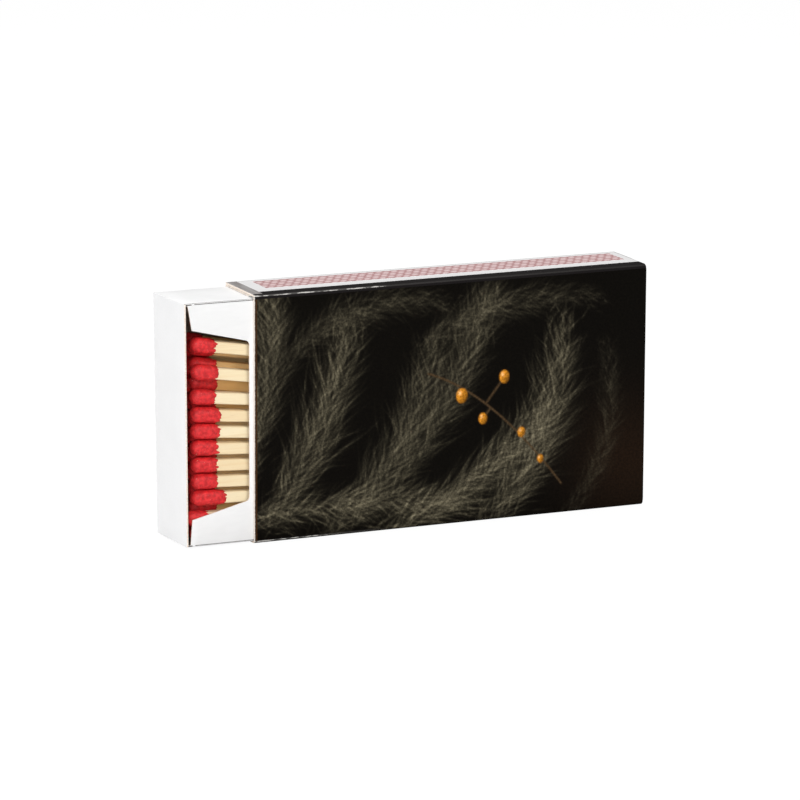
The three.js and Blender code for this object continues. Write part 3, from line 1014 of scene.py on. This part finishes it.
def tray(materials):
    """The folded card of the tray: its tube, end walls, corner tabs, fold cuts and window."""
    low, high = node_box("tray")
    card = TRAY_CARD
    made = tray_tube(low, high)
    lap = card / 2
    for x0 in (low.x, high.x - card):
        start = (x0, low.y, low.z + WALL_INSET)
        end = (x0 + card, high.y - WALL_INSET, high.z - WALL_INSET)
        combine(made, solid_block(start, end, WALL_CELLS), "UNION")
    for x0 in (low.x + lap, high.x - 2 * card):
        for z0 in (low.z + lap, high.z - card - CORNER_TAB):
            start = (x0, low.y + card + TAB_SETBACK, z0)
            end = (x0 + card + lap, high.y - lap, z0 + CORNER_TAB + lap)
            combine(made, solid_block(start, end), "UNION")
    nick = low.x + NICK_START
    half = FOLD_CUT_WIDTH / 2
    for middle in (low.z + TRAY_FOLD, high.z - TRAY_FOLD):
        for x0, x1 in ((low.x + card, nick), (nick + NICK_LENGTH, high.x + card)):
            start = (x0, low.y - card, middle - half)
            end = (x1, low.y + FOLD_CUT_DEPTH, middle + half)
            combine(made, solid_block(start, end), "DIFFERENCE")
    under_cover = low.y + card + TAB_SETBACK / 2
    start = (high.x - card - FOLD_CUT_WIDTH, low.y - card, low.z + 2 * TRAY_FOLD)
    end = (high.x - card, under_cover, high.z - 2 * TRAY_FOLD)
    combine(made, solid_block(start, end), "DIFFERENCE")
    combine(made, prism(window_outline(low, high), low.y - card, under_cover), "DIFFERENCE")
    for material in materials:
        made.data.materials.append(material)
    for face in made.data.polygons:
        face.material_index = tray_surface(face, low, high)
        face.use_smooth = True
    skew_end(made, low, high)
    bevel = made.modifiers.new("edges", "BEVEL")
    bevel.width = TRAY_BEVEL
    bevel.segments = 2
    bevel.limit_method = "ANGLE"
    bevel.angle_limit = math.radians(50)
    apply_modifiers(made)
    sharpen(made, 35)
    return made


def tray_surface(face, low, high):
    """Which material a face of the tray takes: coated outside, cut edge, the scored fold's near-black
    sides as painted shade, or the inside, darkened as painted shade.
    """
    place, card = face.center, TRAY_CARD
    outward = [place.x - low.x, high.x - place.x, place.y - low.y, high.y - place.y]
    outward += [place.z - low.z, high.z - place.z]
    depth = min(outward)
    at_wall = place.x < low.x + 1.1 * card or place.x > high.x - 1.1 * card
    if at_wall and face.normal.y < -0.7:
        return TRAY_CUT
    if depth > 0.9 * card:
        return TRAY_INSIDE
    from_cover = place.y - low.y
    beside_fold = min(place.z - low.z, high.z - place.z) < TRAY_FOLD + FOLD_CUT_WIDTH
    if beside_fold and 0.3 * card < from_cover < card and abs(face.normal.x) < 0.5:
        return TRAY_SCORED_SHADE
    return TRAY_CUT if depth > 0.3 * card else TRAY_COATED


def skew_end(made, low, high):
    """The left end wall and its tabs stand askew, and the wall's front strip is bent inwards."""
    for vertex in made.data.vertices:
        place = vertex.co
        inward = place.x - low.x
        keep = min(1.0, max(0.0, 1 - (inward - END_RIGID) / END_FADE))
        if keep == 0:
            continue
        depth = place.y - low.y
        across = depth / (high.y - low.y)
        up = (place.z - low.z) / (high.z - low.z)
        front = END_SHIFT_FRONT_BOTTOM * (1 - up) + END_SHIFT_FRONT_TOP * up
        back = END_SHIFT_BACK_BOTTOM * (1 - up) + END_SHIFT_BACK_TOP * up
        bend = END_BEND * max(0.0, 1 - depth / END_BEND_DEPTH)
        place.x += keep * (front * (1 - across) + back * across + bend)


# Matches


def rounded_square(angle, half, power):
    """Distance from the middle to the rim of a rounded square."""
    c, s = abs(math.cos(angle)), abs(math.sin(angle))
    return half / (c**power + s**power) ** (1 / power)


def splint_mesh(name, length, start, tone, seed, material):
    """A splint with chamfered edges and slightly torn faces, along X from start."""
    half, chamfer = SPLINT / 2, SPLINT_CHAMFER
    flat = half - chamfer
    corners = []
    side = [(-flat, -half), (flat, -half)]
    for _ in range(4):
        corners += side
        side = [(-z, y) for y, z in side]
    section = []
    for a, b in zip(corners, corners[1:] + corners[:1]):
        section.append(a)
        if math.dist(a, b) > 2 * chamfer:
            section += spaced(a, b, SPLINT / 3)
    count = len(section)
    vertices = []
    for x in np.linspace(start, length, SPLINT_STATIONS):
        for y, z in section:
            rough = 1 + SPLINT_ROUGHNESS * noise.noise(Vector((x * 260, y * 900 + seed, z * 900)))
            vertices.append((x, y * rough, z * rough))
    faces = tube_quads(0, count, SPLINT_STATIONS)
    last = len(vertices) - count
    faces.append(tuple(range(count - 1, -1, -1)))
    faces.append(tuple(range(last, last + count)))
    made = new_object(name, vertices, faces, [material], smooth=False)
    value = made.data.attributes.new("tone", "FLOAT", "POINT")
    value.data.foreach_set("value", np.full(len(vertices), tone))
    return made


def head_point(share, angle, length, seed):
    """A point on the head, that share of the way from its nose to its rim."""
    c, s = math.cos(angle), math.sin(angle)
    where = Vector((c, s, 0))
    teeth = noise.noise(where * 3.1 + Vector((0, 0, seed))) * LONG_TEETH
    teeth += noise.noise(where * 8.3 + Vector((0, 0, seed + 9))) * SHORT_TEETH
    x = share**NOSE_CROWDING * (length + teeth * MM)
    nose = math.sqrt(max(0.0, 1 - (1 - min(1.0, x / NOSE_LENGTH)) ** 2))
    wide = rounded_square(angle, HEAD_WIDTH / 2, HEAD_SQUARENESS)
    wood = min(rounded_square(angle, SPLINT / 2, SPLINT_SQUARENESS), wide)
    tail = max(0.0, (share - RIM_START) / RIM_REACH)
    body = wide * nose * (1 - HEAD_TAPER * share)
    radius = body + (wood * RIM_CLEARANCE - body) * min(1.0, tail) ** RIM_CURVE
    lumps = noise.fractal(Vector((x * LUMP_SCALE, c * LUMP_TURN, s * LUMP_TURN + seed)), 1.0, 2.0, 4)
    radius += LUMP_HEIGHT * lumps * (1 - tail**3) * min(1.0, x / MM)
    return x, radius * c, radius * s


def head_mesh(name, length, seed, material, around=36, steps=26):
    """A dipped head: blunt nose, lumpy body and a ragged rim that runs out on the splint."""
    vertices, faces = [(0.0, 0.0, 0.0)], []
    for i in range(1, steps + 1):
        for j in range(around):
            vertices.append(head_point(i / steps, 2 * math.pi * j / around, length, seed))
    for j in range(around):
        faces.append((0, 1 + (j + 1) % around, 1 + j))
    for i in range(steps - 1):
        a, b = 1 + i * around, 1 + (i + 1) * around
        for j in range(around):
            k = (j + 1) % around
            faces.append((a + j, a + k, b + k, b + j))
    vertices.append((length * RIM_START, 0.0, 0.0))
    last = 1 + (steps - 1) * around
    for j in range(around):
        faces.append((last + j, last + (j + 1) % around, len(vertices) - 1))
    return new_object(name, vertices, faces, [material])


def place_mesh(made, turn):
    """Moves the mesh itself, so that the object's origin stays at the world's."""
    made.data.transform(turn)
    made.data.update()


def match_axis(node):
    """The nose and the tail's middle of a match, from its node's mesh."""
    solid = frame["nodes"][node]
    places = [solid.matrix_world @ vertex.co for vertex in solid.data.vertices]
    tail_x = max(place.x for place in places)
    tail = [place for place in places if place.x > tail_x - SPLINT / 2]
    splint_end = sum(tail, Vector()) / len(tail)
    nose = min(places, key=lambda place: place.x)
    sides = [place for place in places if (place - nose).length < HEAD_WIDTH / 3]
    return sum(sides, Vector()) / len(sides), splint_end


def match_pair(number, wood, red):
    """The splint and the head of one match, where its node lies."""
    node = "match_%02d" % number
    nose, tail = match_axis(node)
    length = (tail - nose).length
    lean = math.asin((nose.z - tail.z) / length)
    head_length = rng.uniform(*DEEP_HEAD_LENGTHS) * MM
    # Deeper matches take the browner tones, painted shade for the layers behind the front
    slips, tones = DEEP_SLIP, DEEP_TONE_AND_SHADE
    if number <= SECOND_LAYER_END:
        slips = SECOND_SLIP
    if number <= len(FRONT_HEAD_LENGTHS):
        head_length = FRONT_HEAD_LENGTHS[number - 1] * MM
        slips, tones = FRONT_SLIP, FRONT_TONE
    roll = rng.uniform(-ROLL_LIMIT, ROLL_LIMIT)
    slip = rng.uniform(*slips)
    if number == SLIPPED_MATCH:
        slip = SLIPPED_BY
    turn = Matrix.Translation((nose.x + slip, tail.y, nose.z))
    turn = turn @ Matrix.Rotation(lean, 4, "Y") @ Matrix.Rotation(roll, 4, "X")
    tone = rng.uniform(*tones)
    stick = splint_mesh("splint_%02d" % number, length, SPLINT_START, tone, number * 3.7, wood)
    tip = head_mesh("head_%02d" % number, head_length, number * 5.3, red)
    for made in (stick, tip):
        place_mesh(made, turn)
        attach(made, "tray")
        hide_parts(node)


# Stage


def floor():
    """A pale floor that shows white to the camera and still takes soft shadows."""
    material = bpy.data.materials.new("floor")
    material.use_nodes = True
    tree = material.node_tree
    tree.nodes.clear()
    output = tree.nodes.new("ShaderNodeOutputMaterial")
    matte = tree.nodes.new("ShaderNodeBsdfDiffuse")
    matte.inputs["Color"].default_value = (FLOOR_GREY, FLOOR_GREY, FLOOR_GREY, 1)
    white = tree.nodes.new("ShaderNodeEmission")
    white.inputs["Color"].default_value = (1, 1, 1, 1)
    white.inputs["Strength"].default_value = FLOOR_GLOW
    mixed = tree.nodes.new("ShaderNodeMixShader")
    path = tree.nodes.new("ShaderNodeLightPath")
    share = tree.nodes.new("ShaderNodeMath")
    share.operation = "MULTIPLY"
    share.inputs[1].default_value = FLOOR_GLOW_SHARE
    tree.links.new(path.outputs["Is Camera Ray"], share.inputs[0])
    tree.links.new(share.outputs[0], mixed.inputs[0])
    tree.links.new(matte.outputs[0], mixed.inputs[1])
    tree.links.new(white.outputs[0], mixed.inputs[2])
    tree.links.new(mixed.outputs[0], output.inputs["Surface"])
    ways = ((-1, -1), (1, -1), (1, 1), (-1, 1))
    corners = [(x * FLOOR_HALF, y * FLOOR_HALF, cad_low.z) for x, y in ways]
    made = new_object("floor", corners, [(0, 1, 2, 3)], [material])


def area_light(name, place, size, power, colour=(1, 1, 1)):
    """A square lamp that faces the box: place and side in metres, power in watts."""
    data = bpy.data.lights.new(name, "AREA")
    data.shape = "RECTANGLE"
    data.size, data.size_y = size, size
    data.energy = power
    data.color = colour
    made = bpy.data.objects.new(name, data)
    made.location = place
    made.rotation_mode = "QUATERNION"
    made.rotation_quaternion = (Vector(LAMP_TARGET) - Vector(place)).to_track_quat("-Z", "Y")
    bpy.context.collection.objects.link(made)


def world():
    """White to the camera, and a faint light from all round."""
    made = bpy.data.worlds.new("world")
    bpy.context.scene.world = made
    made.use_nodes = True
    tree = made.node_tree
    tree.nodes.clear()
    output = tree.nodes.new("ShaderNodeOutputWorld")
    sky = tree.nodes.new("ShaderNodeBackground")
    sky.inputs["Color"].default_value = (1, 1, 1, 1)
    path = tree.nodes.new("ShaderNodeLightPath")
    strength = tree.nodes.new("ShaderNodeMapRange")
    strength.inputs["To Min"].default_value = WORLD_LIGHT
    strength.inputs["To Max"].default_value = 1.0
    tree.links.new(path.outputs["Is Camera Ray"], strength.inputs["Value"])
    tree.links.new(strength.outputs[0], sky.inputs["Strength"])
    tree.links.new(sky.outputs[0], output.inputs["Surface"])


def lights():
    """Soft lamps: high at the front right, lower at the front left, beside the left end, and above."""
    area_light("key", (0.36, -0.98, 0.80), 0.4, 5.2, (1.0, 0.995, 0.985))
    area_light("front_left", (-0.55, -1.0, 0.36), 0.4, 4.6)
    area_light("left_fill", (-1.05, -0.20, 0.30), 0.6, 4.7, (0.99, 0.99, 1.0))
    area_light("top", (0.0, 0.30, 1.05), 0.7, 6.8)


def main():
    bpy.context.scene.view_settings.view_transform = "Standard"
    camera()
    low, high = node_box("sleeve")
    white_board = plain_board("white_board", *WHITE_BOARD)
    inner_board = plain_board("inner_board", *INNER_BOARD)
    edge_board = cut_board("cut_edge", *CUT_EDGE)
    # The tray's inside: unprinted board, darkened as painted shade
    raw_board_shaded = plain_board("raw_board_shaded", *RAW_BOARD_SHADED)
    box_sleeve = sleeve(
        [printed_panel(), printed_side(low, high), inner_board, edge_board, printed_back(low, high)]
    )
    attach(box_sleeve, "sleeve")
    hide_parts("sleeve")
    # The sides of the fold cuts are coloured near-black as painted shade for the slits
    scored = cut_board("scored_fold_shade", *SCORED_FOLD_SHADE)
    box_tray = tray([white_board, edge_board, scored, raw_board_shaded])
    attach(box_tray, "tray")
    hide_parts("tray")
    coat = striking_surface()
    for name in ("striker_top", "striker_bottom"):
        strip = frame["nodes"][name]
        strip.data.materials.clear()
        strip.data.materials.append(coat)
    wood, red = splint_wood(), head_composition()
    for number in range(1, sum(name.startswith("match_") for name in frame["nodes"]) + 1):
        match_pair(number, wood, red)
    floor()
    world()
    lights()


main()
